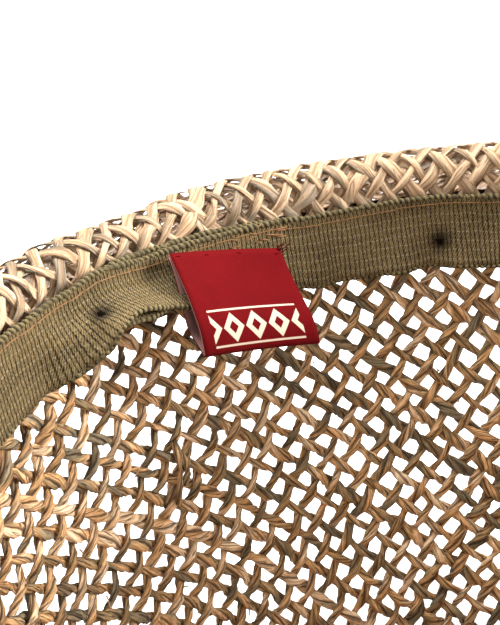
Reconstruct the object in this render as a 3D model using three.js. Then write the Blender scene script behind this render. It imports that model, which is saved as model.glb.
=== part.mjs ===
// A fedora in open plaited seagrass, set down upside down on the ridge of its crown so that the brim keeps
// its shape. Millimetres, +Z up. The back of the head is towards +Y and the wearer's right-hand side
// towards +X. Turns run in degrees from the back of the hat, through its +X side, to the front at 180.

import * as THREE from 'three';
import { mergeVertices } from 'three/addons/utils/BufferGeometryUtils.js';

// Crown. The oval is the middle of the straw wall in the opening plane, where crown and brim meet.
const OVAL_HALF_LENGTH = 104;
const OVAL_HALF_WIDTH = 86;
const CROWN_HEIGHT = 106;
const STRAW_WALL = 2.4;
const WALL_TAPER = 4.6;
const CROWN_LIP = 1.5;
const SHOULDER_RADIUS = 15;
const RIDGE_LAND = 4;

// The teardrop dent in the crown's top, and the two pinches at the front.
const DENT = { backDepth: 26, frontDepth: 20, spineCentre: 6, spineHalfLength: 42, flatFrom: 0.78 };
const PINCH = { turnFromFront: 36, halfTurn: 17, depth: 10, from: 30, full: 88 };

// Brim: two layers of straw, bent out of the wall and turned up at the back of the head.
const BRIM = {
  thickness: 4,
  width: 40,
  slopeSides: 16,
  slopeSwing: 22,
  edgeEasing: 0.2,
};

// Ribbons. A gap is kept to whatever a ribbon lies on, and a lapped end stands off by the lap step.
const CLEARANCE = 0.3;
const SWEATBAND = {
  width: 12.6,
  thickness: 1,
  from: -20,
  to: 366.5,
  lapStep: 1.4,
  lapFrom: 326,
  lapFull: 339,
};
const HATBAND = {
  width: 14,
  thickness: 1,
  edgeDrop: 1.5,
  from: 262,
  to: 638,
  lapStep: 1.4,
  lapFrom: 606,
  lapFull: 620,
};

// Radius of the bend between crown and brim, which is creased sharper beside the sweatband's lap.
const BEND = [
  { turn: 298, radius: 4.1 },
  { turn: 318, radius: 2.9 },
  { turn: 343, radius: 2.9 },
  { turn: 356, radius: 4.1 },
];

// How the line where crown and brim meet rises and falls round the hat.
const MEETING_LINE = [
  { turn: 0, rise: 0 },
  { turn: 20, rise: 0 },
  { turn: 60, rise: -0.6 },
  { turn: 90, rise: -0.4 },
  { turn: 140, rise: -1 },
  { turn: 180, rise: -0.6 },
  { turn: 220, rise: -1 },
  { turn: 270, rise: -0.6 },
  { turn: 300, rise: -1.4 },
  { turn: 323, rise: -2.8 },
  { turn: 331, rise: -2.3 },
  { turn: 336, rise: -2.3 },
  { turn: 340.5, rise: -0.85 },
  { turn: 346, rise: -0.35 },
  { turn: 357, rise: 0 },
];

// Height of the sweatband's sewn edge over the opening plane, along its length.
const SEWN_EDGE = [
  { turn: -20, rise: 0.6 },
  { turn: -14, rise: 1.1 },
  { turn: -3, rise: 0.8 },
  { turn: 3, rise: 0.2 },
  { turn: 11, rise: -0.8 },
  { turn: 25, rise: -0.4 },
  { turn: 34, rise: -1.2 },
  { turn: 90, rise: -0.8 },
  { turn: 180, rise: -1.2 },
  { turn: 270, rise: -0.8 },
  { turn: 311, rise: -2.3 },
  { turn: 322, rise: -2.3 },
  { turn: 329, rise: -1.1 },
  { turn: 335, rise: 0.2 },
  { turn: 341, rise: 1.3 },
  { turn: 348, rise: 0.5 },
  { turn: 366.5, rise: 0.1 },
];

// How far the sweatband's free edge leans into the head hole, in degrees from upright.
const FREE_EDGE = [
  { turn: -20, lean: 2 },
  { turn: 4, lean: 6 },
  { turn: 12, lean: 2 },
  { turn: 21, lean: 14 },
  { turn: 25.5, lean: 2 },
  { turn: 29, lean: 15 },
  { turn: 70, lean: 8 },
  { turn: 105, lean: 3 },
  { turn: 150, lean: 14 },
  { turn: 190, lean: 4 },
  { turn: 235, lean: 12 },
  { turn: 280, lean: 3 },
  { turn: 330, lean: 2 },
  { turn: 333.5, lean: 28 },
  { turn: 336, lean: 55 },
  { turn: 338, lean: 77 },
  { turn: 342.5, lean: 79 },
  { turn: 347, lean: 71 },
  { turn: 350.5, lean: 8 },
  { turn: 366.5, lean: 4 },
];

// How much of the sweatband's width its free edge curls away.
const EDGE_CURL = [
  { turn: 322, loss: 0 },
  { turn: 333, loss: 0.8 },
  { turn: 338, loss: 0.5 },
  { turn: 345, loss: 1 },
  { turn: 351, loss: 0 },
];

// Woven label, a loop pressed flat at its free end. Its front ply starts inside the middle of the crown's wall
// by inward, hangs for a length and leans into the head hole by an angle that is read along that length.
const LABEL = {
  thickness: 1,
  length: 18.3,
  inward: 6.2,
  left: { across: -13.8, rise: 0.5, bulge: 3.5 },
  right: { across: 7.1, rise: -4.1, bulge: 1.2 },
  drift: -0.04,
  gap: 1.3,
};
const LABEL_LEAN = [
  { down: 0, left: 49, right: 39 },
  { down: 0.35, left: 48, right: 47 },
  { down: 0.7, left: 34, right: 53 },
  { down: 0.9, left: 14, right: 26 },
  { down: 1, left: 9, right: 14 },
];

// Mesh fineness.
const TURNS = 72;
const WALL_ROWS = 5;
const SHOULDER_ROWS = 5;
const DENT_ROWS = 7;
const RIBBON_STEP = 3.9;

const radians = THREE.MathUtils.degToRad;
const smooth = THREE.MathUtils.smoothstep;
const lerp = THREE.MathUtils.lerp;

/** Evenly spaced numbers from first to last, both included. */
function steps(first, last, count) {
  return Array.from({ length: count + 1 }, (_, i) => lerp(first, last, i / count));
}

/** Reads a column of a table of rows keyed by turn, easing from each row to the next. */
function along(rows, column, turn) {
  const next = rows.findIndex((row) => row.turn > turn);
  if (next === 0) return rows[0][column];
  if (next < 0) return rows[rows.length - 1][column];
  const before = rows[next - 1];
  const after = rows[next];
  return lerp(before[column], after[column], smooth(turn, before.turn, after.turn));
}

/** The same turn as a number from 0 to 360. */
function wrapped(turn) {
  return ((turn % 360) + 360) % 360;
}

/** Height of the line where crown and brim meet, over its place in the opening plane. */
function meetingRise(turn) {
  return along(MEETING_LINE, 'rise', wrapped(turn));
}

/** A point of the hat's oval, moved in by inset, at a height over the resting plane. */
function ovalPoint(turn, inset, height) {
  const angle = radians(turn);
  const x = (OVAL_HALF_WIDTH - inset) * Math.sin(angle);
  const y = (OVAL_HALF_LENGTH - inset) * Math.cos(angle);
  return new THREE.Vector3(x, y, height);
}

/** The oval's outward direction at a turn. */
function ovalOutward(turn) {
  const angle = radians(turn);
  const outward = new THREE.Vector3(Math.sin(angle) / OVAL_HALF_WIDTH, Math.cos(angle) / OVAL_HALF_LENGTH, 0);
  return outward.normalize();
}

/** How far the middle of the crown's wall has come in at a depth below the opening. */
function wallInset(turn, depth) {
  const fromFront = Math.abs(turn - 180) - PINCH.turnFromFront;
  const pinch = PINCH.depth * Math.exp(-((fromFront / PINCH.halfTurn) ** 2));
  const ramp = smooth(depth, PINCH.from, PINCH.full);
  return depth * Math.tan(radians(WALL_TAPER)) + pinch * ramp;
}

/**
 * Middle of the crown's straw. Stage 0 to 1 runs down the wall, 1 to 2 round the shoulder, 2 to 3 across the
 * flat ridge that the hat rests on, and 3 to 4 up into the dent, which closes on a straight spine.
 */
function crownPoint(turn, stage) {
  const radius = SHOULDER_RADIUS - STRAW_WALL / 2;
  const ridge = STRAW_WALL / 2;
  const wallEnd = CROWN_HEIGHT - ridge - radius;
  if (stage <= 1) {
    const depth = lerp(-CROWN_LIP - meetingRise(turn), wallEnd, stage);
    return ovalPoint(turn, wallInset(turn, depth), CROWN_HEIGHT - depth);
  }
  const start = wallInset(turn, wallEnd);
  if (stage <= 2) {
    const angle = radians(90 * (stage - 1));
    const height = ridge + radius * (1 - Math.sin(angle));
    return ovalPoint(turn, start + radius * (1 - Math.cos(angle)), height);
  }
  if (stage <= 3) return ovalPoint(turn, start + radius + RIDGE_LAND * (stage - 2), ridge);
  const t = stage - 3;
  const rim = ovalPoint(turn, start + radius + RIDGE_LAND, ridge);
  const backness = (1 + Math.cos(radians(turn))) / 2;
  const depth = lerp(DENT.frontDepth, DENT.backDepth, backness);
  const spineY = DENT.spineCentre + DENT.spineHalfLength * Math.cos(radians(turn));
  const height = ridge + depth * Math.sin((Math.PI / 2) * Math.min(1, t / DENT.flatFrom)) ** 2;
  return new THREE.Vector3(lerp(rim.x, 0, t), lerp(rim.y, spineY, t), height);
}

/** Middle of the brim. Stage 0 to 1 bends out of the wall and 1 to 2 runs out to the edge. */
function brimPoint(turn, stage) {
  const slope = BRIM.slopeSides + BRIM.slopeSwing * Math.cos(radians(turn));
  const bend = radians(90 + slope) * Math.min(stage, 1);
  const radius = along(BEND, 'radius', wrapped(turn));
  let out = radius * (1 - Math.cos(bend));
  let up = radius * Math.sin(bend);
  if (stage > 1) {
    const run = BRIM.width * (stage - 1);
    const fall = radians(slope * (1 - (BRIM.edgeEasing * (stage - 1)) / 2));
    out += run * Math.cos(fall);
    up -= run * Math.sin(fall);
  }
  const start = CROWN_HEIGHT + CROWN_LIP + CLEARANCE + meetingRise(turn);
  const base = ovalPoint(turn, 0, start + up);
  return base.addScaledVector(ovalOutward(turn), out);
}

/** Middle of the sweatband, from its sewn edge (across 0) to its free edge (across 1). */
function sweatbandPoint(turn, across) {
  const lap = SWEATBAND.lapStep * smooth(turn, SWEATBAND.lapFrom, SWEATBAND.lapFull);
  const lean = radians(along(FREE_EDGE, 'lean', turn));
  const onWall = STRAW_WALL / 2 + CLEARANCE + SWEATBAND.thickness / 2;
  const width = SWEATBAND.width - along(EDGE_CURL, 'loss', turn);
  const pieces = 24;
  let inward = 0;
  let down = 0;
  for (let i = 0; i < pieces; i += 1) {
    const angle = lean * smooth((i + 0.5) / pieces * across, 0.12, 0.5);
    inward += (width * across * Math.sin(angle)) / pieces;
    down += (width * across * Math.cos(angle)) / pieces;
  }
  const depth = down - along(SEWN_EDGE, 'rise', turn);
  const inset = onWall + lap + inward + depth * Math.tan(radians(WALL_TAPER));
  return ovalPoint(turn, inset, CROWN_HEIGHT - depth);
}

/** Middle of the hatband outside the crown, from its edge by the brim (across 0) to its other edge. */
function hatbandPoint(turn, across) {
  const lap = HATBAND.lapStep * smooth(turn, HATBAND.lapFrom, HATBAND.lapFull);
  const depth = HATBAND.width * across + HATBAND.edgeDrop - meetingRise(turn);
  const outward = STRAW_WALL / 2 + CLEARANCE + HATBAND.thickness / 2 + lap;
  return ovalPoint(turn, wallInset(turn, depth) - outward, CROWN_HEIGHT - depth);
}

/** A point inside the crown's back wall, by its distance across, into the head hole and over the opening. */
function backWallPoint(across, inward, rise) {
  const y = (OVAL_HALF_LENGTH - inward) * Math.sqrt(1 - (across / (OVAL_HALF_WIDTH - inward)) ** 2);
  return new THREE.Vector3(across, y, CROWN_HEIGHT + rise);
}

/** The label's lean from upright at a share of the way down its front ply. */
function labelLean(side, down) {
  const next = Math.max(1, LABEL_LEAN.findIndex((row) => row.down >= down));
  const [above, below] = [LABEL_LEAN[next - 1], LABEL_LEAN[next]];
  const t = (down - above.down) / (below.down - above.down);
  return radians(lerp(lerp(above.left, below.left, t), lerp(above.right, below.right, t), side));
}

/** A point of the label's front ply, at a share of the way down it. */
function labelFront(side, down) {
  const { left, right, length, drift, inward } = LABEL;
  const point = backWallPoint(lerp(left.across, right.across, side), inward, lerp(left.rise, right.rise, side));
  const pieces = 24;
  const step = (length * down) / pieces;
  for (let i = 0; i < pieces; i += 1) {
    const lean = labelLean(side, ((i + 0.5) / pieces) * down);
    point.y -= step * Math.sin(lean);
    point.z -= step * Math.cos(lean);
  }
  point.x += drift * length * down;
  return point;
}

/** Middle of the label's cloth. Path 0 to 1 is the back ply, 1 to 2 the fold and 2 to 3 the front ply. */
function labelPoint(side, path) {
  const down = path < 1 ? path : Math.min(1, 3 - path);
  const lean = labelLean(side, down);
  const swell = Math.sin(Math.PI * Math.max(0, down) ** 1.7);
  const turned = path < 1 ? 0 : radians(180) * (Math.min(2, path) - 1);
  const bulge = path < 1 ? lerp(LABEL.left.bulge, LABEL.right.bulge, side) * swell : 0;
  const behind = bulge + (LABEL.gap / 2) * (1 + Math.cos(turned));
  const below = (LABEL.gap / 2) * Math.sin(turned);
  const point = labelFront(side, down);
  point.y += behind * Math.cos(lean) - below * Math.sin(lean);
  point.z -= behind * Math.sin(lean) + below * Math.cos(lean);
  return point;
}

/** Front and back offsets of a sheet's middle surface, worked out from its own slopes. */
function surfaceFrame(pointAt, u, v, uStep, vStep) {
  const middle = pointAt(u, v);
  const alongU = pointAt(u + uStep, v).sub(pointAt(u - uStep, v));
  const alongV = pointAt(u, v + vStep).sub(pointAt(u, v - vStep)).normalize();
  return { middle, alongV, normal: alongU.cross(alongV).normalize() };
}

/** Joins rows of points into triangles, turns them outward and drops the empty ones. */
function closedGeometry(rows, ringed, caps) {
  const points = [];
  const faces = [];
  const width = rows[0].length;
  rows.forEach((row) => row.forEach((p) => points.push(p.x, p.y, p.z)));
  const at = (i, k) => (i % rows.length) * width + (k % width);
  const quad = (a, b, c, d) => faces.push([a, b, c], [a, c, d]);
  const lastRow = ringed.rows ? rows.length : rows.length - 1;
  const lastPoint = ringed.points ? width : width - 1;
  for (let i = 0; i < lastRow; i += 1) {
    for (let k = 0; k < lastPoint; k += 1) {
      quad(at(i, k), at(i, k + 1), at(i + 1, k + 1), at(i + 1, k));
    }
  }
  for (const [i, flip] of caps) {
    for (let k = 0; k + 1 < width / 2; k += 1) {
      const corners = [at(i, k), at(i, width - 1 - k), at(i, width - 2 - k), at(i, k + 1)];
      quad(...(flip ? corners.reverse() : corners));
    }
  }
  const loose = new THREE.BufferGeometry();
  loose.setAttribute('position', new THREE.Float32BufferAttribute(points, 3));
  loose.setIndex(faces.flat());
  const merged = mergeVertices(loose, 1e-4);
  const index = Array.from(merged.index.array);
  const kept = [];
  for (let i = 0; i < index.length; i += 3) {
    const [a, b, c] = index.slice(i, i + 3);
    if (a !== b && b !== c && c !== a) kept.push([a, b, c]);
  }
  const corner = (i) => new THREE.Vector3().fromBufferAttribute(merged.attributes.position, i);
  const volume = kept.reduce((sum, [a, b, c]) => sum + corner(a).dot(corner(b).cross(corner(c))), 0);
  merged.setIndex(kept.flatMap((face) => (volume < 0 ? face.reverse() : face)));
  merged.computeVertexNormals();
  return merged;
}

/** A sheet of even thickness round the whole hat, with a rounded edge where v ends. */
function roundSheet(pointAt, turns, vs, thickness, edgeAngles) {
  const half = thickness / 2;
  const rows = turns.map((turn) => {
    const frames = vs.map((v) => surfaceFrame(pointAt, turn, v, 0.5, 1e-3));
    const side = (distance) => frames.map((f) => f.middle.clone().addScaledVector(f.normal, distance));
    const end = frames[frames.length - 1];
    const edge = edgeAngles.map((angle) => end.middle.clone()
      .addScaledVector(end.normal, half * Math.cos(radians(angle)))
      .addScaledVector(end.alongV, half * Math.sin(radians(angle))));
    return [...side(half), ...edge, ...side(-half).reverse()];
  });
  return closedGeometry(rows, { rows: true, points: true }, []);
}

/** A ribbon or strip of even thickness with two cut ends. */
function stripSheet(pointAt, us, vs, thickness, uStep) {
  const rows = us.map((u) => {
    const frames = vs.map((v) => surfaceFrame(pointAt, u, v, uStep, 1e-3));
    const side = (distance) => frames.map((f) => f.middle.clone().addScaledVector(f.normal, distance));
    return [...side(thickness / 2), ...side(-thickness / 2).reverse()];
  });
  return closedGeometry(rows, { rows: false, points: true }, [[0, false], [rows.length - 1, true]]);
}

/** The crown's wall, shoulder, ridge and dent as one shell, open towards the head. */
function crownGeometry() {
  const stages = [
    ...steps(0, 1, WALL_ROWS),
    ...steps(1, 2, SHOULDER_ROWS).slice(1),
    ...steps(3, 4, DENT_ROWS),
  ];
  const half = STRAW_WALL / 2;
  const rows = steps(0, 360, TURNS).slice(0, -1).map((turn) => {
    const skin = (sign) => stages.map((stage) => {
      const { middle, normal } = surfaceFrame(crownPoint, turn, stage, 0.5, 1e-3);
      const flat = stage === 2 || stage === 3 || stage === 4;
      const offset = flat ? new THREE.Vector3(0, 0, -1) : normal;
      const point = middle.clone().addScaledVector(offset, sign * half);
      if (stage === 4) point.set(0, Math.round(point.y * 1e3) / 1e3, point.z);
      return point;
    });
    return [...skin(1).reverse(), ...skin(-1)];
  });
  return closedGeometry(rows, { rows: true, points: false }, []);
}

function brimGeometry() {
  const turns = steps(0, 360, TURNS).slice(0, -1);
  const stages = [...steps(0, 1, 4), ...steps(1, 2, 3).slice(1)];
  return roundSheet(brimPoint, turns, stages, BRIM.thickness, [50, 90, 130]);
}

function ribbonGeometry(pointAt, ribbon, rows) {
  const turns = steps(ribbon.from, ribbon.to, Math.round((ribbon.to - ribbon.from) / RIBBON_STEP));
  return stripSheet(pointAt, turns, steps(0, 1, rows), ribbon.thickness, 0.5);
}

function labelGeometry() {
  const path = [...steps(0, 1, 4), ...steps(1, 2, 4).slice(1), ...steps(2, 3, 4).slice(1)];
  return stripSheet(labelPoint, steps(0, 1, 6), path, LABEL.thickness, 1e-3);
}

function named(name, geometry, color, roughness) {
  const material = new THREE.MeshStandardMaterial({ color, roughness, metalness: 0 });
  const mesh = new THREE.Mesh(geometry, material);
  mesh.name = name;
  return mesh;
}

const fedora = new THREE.Group();
fedora.add(named('crown', crownGeometry(), 0x9a7650, 0.8));
fedora.add(named('brim', brimGeometry(), 0xc9ab80, 0.8));
fedora.add(named('sweatband', ribbonGeometry(sweatbandPoint, SWEATBAND, 5), 0x6f6140, 0.9));
fedora.add(named('hatband', ribbonGeometry(hatbandPoint, HATBAND, 1), 0x33281f, 0.9));
fedora.add(named('label', labelGeometry(), 0x9e141d, 0.85));

// The origin is under the middle of the whole hat, on the surface that it rests on.
const middle = new THREE.Box3().setFromObject(fedora).getCenter(new THREE.Vector3());
fedora.position.set(-middle.x, -middle.y, 0);

export default fedora;
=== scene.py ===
"""A fedora in open plaited seagrass, upside down on the ridge of its crown.

Metres in the row's frame, +Z up and +Y towards the back of the head. Every shape is worked out in
millimetres from the hat's own axis and moved into the frame when its mesh is made. Turns run in degrees from
the back of the hat through its +X side.
"""

import math

import bpy
import numpy as np
from mathutils import Matrix, Vector
from mathutils.bvhtree import BVHTree


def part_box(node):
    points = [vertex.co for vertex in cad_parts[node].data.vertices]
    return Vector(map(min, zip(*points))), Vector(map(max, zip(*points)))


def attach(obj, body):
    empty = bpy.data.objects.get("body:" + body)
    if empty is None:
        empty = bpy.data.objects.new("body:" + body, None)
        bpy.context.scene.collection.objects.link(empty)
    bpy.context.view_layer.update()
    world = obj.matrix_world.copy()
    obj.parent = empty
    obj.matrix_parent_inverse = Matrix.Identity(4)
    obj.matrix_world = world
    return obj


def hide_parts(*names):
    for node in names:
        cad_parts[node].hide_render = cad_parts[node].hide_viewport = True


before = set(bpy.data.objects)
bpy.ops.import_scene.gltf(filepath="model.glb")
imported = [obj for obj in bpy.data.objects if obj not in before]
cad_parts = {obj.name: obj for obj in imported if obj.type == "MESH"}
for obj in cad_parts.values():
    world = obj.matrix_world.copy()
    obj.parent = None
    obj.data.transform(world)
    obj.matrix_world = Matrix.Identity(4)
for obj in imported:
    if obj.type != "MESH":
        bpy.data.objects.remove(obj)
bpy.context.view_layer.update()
rng = np.random.default_rng(11)

crown_low, crown_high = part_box("crown")
AXIS = np.array([(crown_low.x + crown_high.x) / 2, (crown_low.y + crown_high.y) / 2, 0.0]) * 1000

# The hat's form, as in the part: the oval and height of its opening plane, the wall's taper, the lip above that
# plane, the shoulder, the flat ridge that it rests on, the dent, the pinches at the front, and the brim.
HALF_LENGTH, HALF_WIDTH, HEIGHT = 104.0, 86.0, 106.0
TAPER = math.tan(math.radians(4.6))
LIP = 1.5
SHOULDER = 13.8
RIDGE, LAND = 1.2, 4.0
WALL_END = HEIGHT - RIDGE - SHOULDER
DENT = dict(front=20.0, back=26.0, spine_centre=6, spine_half=42, flat_from=0.78)
PINCH = dict(turn_from_front=36, half_turn=17, depth=10, starts=30, full=88)
BRIM = dict(width=40, slope=16, swing=22, easing=0.1, gap=0.3, below_bend=10)


def link(obj):
    bpy.context.scene.collection.objects.link(obj)
    return obj


# The camera: its place from the middle of the opening plane, in millimetres, and the directions it has.
CAMERA_PLACE = (-76.81, -65.31, 54.09)
CAMERA_RIGHT = (0.87757, -0.46420, -0.11992)
CAMERA_UP = (0.26591, 0.26314, 0.92739)
CAMERA_AHEAD = (0.39894, 0.84574, -0.35436)

camera = link(bpy.data.objects.new("camera", bpy.data.cameras.new("camera")))
camera.data.lens = 63.17
camera.data.sensor_width = 36
camera.data.clip_start = 0.01
turning = Matrix((CAMERA_RIGHT, CAMERA_UP, -Vector(CAMERA_AHEAD))).transposed().to_4x4()
opening = Vector(AXIS) + Vector((0, 0, HEIGHT))
camera.matrix_world = Matrix.Translation((Vector(CAMERA_PLACE) + opening) / 1000) @ turning
bpy.context.scene.camera = camera


# -------- curves and surfaces


def smooth(value, first, last):
    t = np.clip((np.asarray(value, float) - first) / (last - first), 0, 1)
    return t * t * (3 - 2 * t)


def mix(a, b, t):
    return a + (b - a) * t


def along(rows, turn):
    """Reads a table of (turn, value) rows, easing from each row to the next."""
    rows = np.asarray(rows, float)
    i = np.clip(np.searchsorted(rows[:, 0], turn, side="right"), 1, len(rows) - 1)
    return mix(rows[i - 1, 1], rows[i, 1], smooth(turn, rows[i - 1, 0], rows[i, 0]))


def unit(v):
    return v / np.maximum(np.linalg.norm(v, axis=-1, keepdims=True), 1e-9)


def pair(a, b):
    """Two arrays of floats, brought to one shape."""
    return np.broadcast_arrays(np.asarray(a, float), np.asarray(b, float))


def stack(*parts):
    """Arrays brought to one shape and joined as coordinates."""
    return np.stack(np.broadcast_arrays(*parts), -1)


def travelled(points):
    """The distance along a line of points, at each of them."""
    return np.concatenate([[0], np.cumsum(np.linalg.norm(np.diff(points, axis=0), axis=1))])


def rings_on(line, first, far, second, wide):
    """Rings round a line: each point stands off it by far along first and by wide along second."""
    return line[:, None] + first[:, None] * far[..., None] + second[:, None] * wide[..., None]


def oval(turn, inset, height):
    """A point in from the opening's oval, at a height over the floor."""
    a = np.radians(turn)
    return stack((HALF_WIDTH - inset) * np.sin(a), (HALF_LENGTH - inset) * np.cos(a), height).astype(float)


def outward(turn):
    """The oval's outer normal."""
    a = np.radians(turn)
    return unit(stack(np.sin(a) / HALF_WIDTH, np.cos(a) / HALF_LENGTH, 0.0))


def wall_inset(turn, depth):
    """How far the wall stands in from the opening's oval, by its taper and by the pinches at the front."""
    off = np.abs(np.mod(turn, 360) - 180) - PINCH["turn_from_front"]
    pinch = PINCH["depth"] * np.exp(-((off / PINCH["half_turn"]) ** 2))
    return depth * TAPER + pinch * smooth(depth, PINCH["starts"], PINCH["full"])


# Rows of (turn, rise) of the line where crown and brim meet, and of (turn, radius) of the bend between them.
MEETING_LINE = [
    (0, 0), (20, 0), (60, -0.6), (90, -0.4), (140, -1), (180, -0.6), (220, -1), (270, -0.6), (300, -1.4),
    (323, -2.8), (331, -2.3), (336, -2.3), (340.5, -0.85), (346, -0.35), (357, 0),
]
BEND = [(298, 4.4), (325, 4.9), (336, 4.9), (345, 3.7), (351, 3.5), (356, 4.4)]


def meeting(turn):
    """Rise of the line where crown and brim meet, over its place in the opening plane."""
    return along(MEETING_LINE, np.mod(turn, 360))


def crown(turn, stage):
    """Middle of the crown: up to 1 the wall, to 2 the shoulder, to 3 the ridge, to 4 the dent."""
    turn, stage = pair(turn, stage)
    depth = mix(-LIP - meeting(turn), WALL_END, np.minimum(stage, 1))
    start = wall_inset(turn, WALL_END)
    bend = np.radians(90 * np.clip(stage - 1, 0, 1))
    inset = np.where(stage <= 1, wall_inset(turn, depth), start + SHOULDER * (1 - np.cos(bend)))
    inset = inset + LAND * np.clip(stage - 2, 0, 1)
    height = np.where(stage <= 1, HEIGHT - depth, RIDGE + SHOULDER * (1 - np.sin(bend)))
    points = oval(turn, inset, height)
    t = np.clip(stage - 3, 0, 1)[..., None]
    back = np.cos(np.radians(turn))
    spine = stack(0.0, DENT["spine_centre"] + DENT["spine_half"] * back, 0.0)
    steepness = np.sin(np.pi / 2 * np.minimum(1, t[..., 0] / DENT["flat_from"]))
    rise = mix(DENT["front"], DENT["back"], (1 + back) / 2) * steepness**2
    dent = mix(points, spine, t)
    dent[..., 2] = RIDGE + rise
    return np.where(stage[..., None] > 3, dent, points)


def brim(turn, stage):
    """Middle of the brim: 0 to 1 the bend out of the wall, to 2 out to the edge, and below 0 down the wall."""
    turn, stage = pair(turn, stage)
    slope = BRIM["slope"] + BRIM["swing"] * np.cos(np.radians(turn))
    bend = np.radians(90 + slope) * np.clip(stage, 0, 1)
    share = np.clip(stage - 1, 0, 1)
    run = BRIM["width"] * share
    fall = np.radians(slope * (1 - BRIM["easing"] * share))
    radius = along(BEND, np.mod(turn, 360))
    out = radius * (1 - np.cos(bend)) + run * np.cos(fall)
    up = radius * np.sin(bend) - run * np.sin(fall) + BRIM["below_bend"] * np.minimum(stage, 0)
    return oval(turn, 0, HEIGHT + LIP + BRIM["gap"] + meeting(turn) + up) + outward(turn) * out[..., None]


def surface_frame(surface, u, v, du, dv=1e-3):
    """Middle, unit slopes along u and v, and the outer normal of a surface."""
    along_u = unit(surface(u + du, v) - surface(u - du, v))
    along_v = unit(surface(u, v + dv) - surface(u, v - dv))
    return surface(u, v), along_u, along_v, unit(np.cross(along_u, along_v))


def brim_skins(turn, row):
    """The brim's two layers as one surface, and its normals.

    Row 0 to 1 lies on the upper skin and 1 to 2 back on the lower one. Travel is the way from the start of the
    bend, in millimetres, with the bend itself counted as a fixed length.
    """
    start, bend_run, fold_rows = -5, 10, 0.02
    end = bend_run + BRIM["width"]
    row = np.asarray(row, float)
    from_fold = np.clip(np.abs(row - 1) - fold_rows, 0, None) / (1 - fold_rows)
    travel = np.clip((1 - from_fold) * (end - start) + start, start, end)
    stage = np.where(travel < bend_run, travel / bend_run, 1 + (travel - bend_run) / BRIM["width"])
    middle, _, away, normal = surface_frame(brim, turn, stage, 0.5)
    fold = np.clip((row - 1) / fold_rows, -1, 1) * np.pi / 2
    facing = unit(-np.sin(fold)[..., None] * normal + np.cos(fold)[..., None] * away)
    apart = mix(0.5, 0.62, smooth(travel, start, 2))
    return middle + apart[..., None] * facing, facing


# -------- meshes


class Loft:
    """Closed tubes with one number of sides, gathered into one mesh. Values are its points' attributes."""

    def __init__(self, sides):
        self.sides = sides
        self.phi = np.arange(sides) * 2 * np.pi / sides
        self.points, self.quads, self.cells = [], [], []
        self.values = {}
        self.count = 0
        self.segments = 0

    def add(self, rings, **values):
        """Adds one tube through rings of points, capped at both ends."""
        n, k = len(rings), self.sides
        ring = np.arange(n - 1)[:, None] * k
        side = np.arange(k)
        after = (side + 1) % k
        quads = stack(ring + side, ring + after, ring + k + after, ring + k + side).reshape(-1, 4)
        segment = np.arange(n - 1)[:, None] + self.segments
        cells = stack(segment, side).reshape(-1, 2)
        caps = []
        for start, flip in ((0, True), ((n - 1) * k, False)):
            for j in range(k // 2 - 1):
                corners = [start + j, start + j + 1, start + k - 2 - j, start + k - 1 - j]
                caps.append(corners[::-1] if flip else corners)
        self.quads += [quads + self.count, np.array(caps) + self.count]
        self.cells += [cells, np.full((len(caps), 2), -1)]
        self.points.append(rings.reshape(-1, 3))
        for name, value in values.items():
            value = np.broadcast_to(value, rings.shape).reshape(-1, 3)
            self.values.setdefault(name, []).append(value)
        self.count += n * k
        self.segments += n - 1

    def build(self, name, material, aspect, slot, node=None):
        """Makes the piece. Aspect is the way round a ring over the distance between rings.

        Each segment has its own place in a grid of cells over the texture square, and the caps share the last.
        """
        margin, cap_share = 0.03, 0.2
        points = (np.concatenate(self.points) + AXIS) / 1000
        quads = np.concatenate(self.quads)
        cells = np.concatenate(self.cells).astype(float)
        mesh = bpy.data.meshes.new(name)
        mesh.vertices.add(len(points))
        mesh.vertices.foreach_set("co", points.astype(np.float32).ravel())
        mesh.loops.add(quads.size)
        mesh.loops.foreach_set("vertex_index", quads.astype(np.int32).ravel())
        mesh.polygons.add(len(quads))
        mesh.polygons.foreach_set("loop_start", np.arange(0, quads.size, 4, dtype=np.int32))
        mesh.update(calc_edges=True)
        mesh.polygons.foreach_set("use_smooth", np.ones(len(quads), dtype=bool))
        for attribute, parts in self.values.items():
            layer = mesh.attributes.new(attribute, "FLOAT_VECTOR", "POINT")
            layer.data.foreach_set("vector", np.concatenate(parts).astype(np.float32).ravel())
        per_row = max(1, math.ceil(math.sqrt(self.segments * aspect)))
        rows = math.ceil(self.segments / per_row)
        row, column = np.divmod(cells[:, 0], per_row)
        corners = np.array([[0, 0], [0, 1], [1, 1], [1, 0]])
        u = (column[:, None] + corners[:, 0]) / per_row
        v = (row[:, None] + margin + (1 - 2 * margin) * (cells[:, 1:2] + corners[:, 1]) / self.sides) / rows
        cap = cells[:, 0] < 0
        u[cap] = (per_row - 0.5 + cap_share * (corners[:, 0] - 0.5)) / per_row
        v[cap] = (rows - 0.5 + cap_share * (corners[:, 1] - 0.5)) / rows
        layer = mesh.uv_layers.new(name="OFBake")
        layer.data.foreach_set("uv", np.stack([u, v], -1).astype(np.float32).ravel())
        mesh.materials.append(material)
        mesh.validate(verbose=False)
        obj = link(bpy.data.objects.new(name, mesh))
        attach(obj, "root")
        if node:
            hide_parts(node)
        return obj


# -------- plaiting


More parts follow.
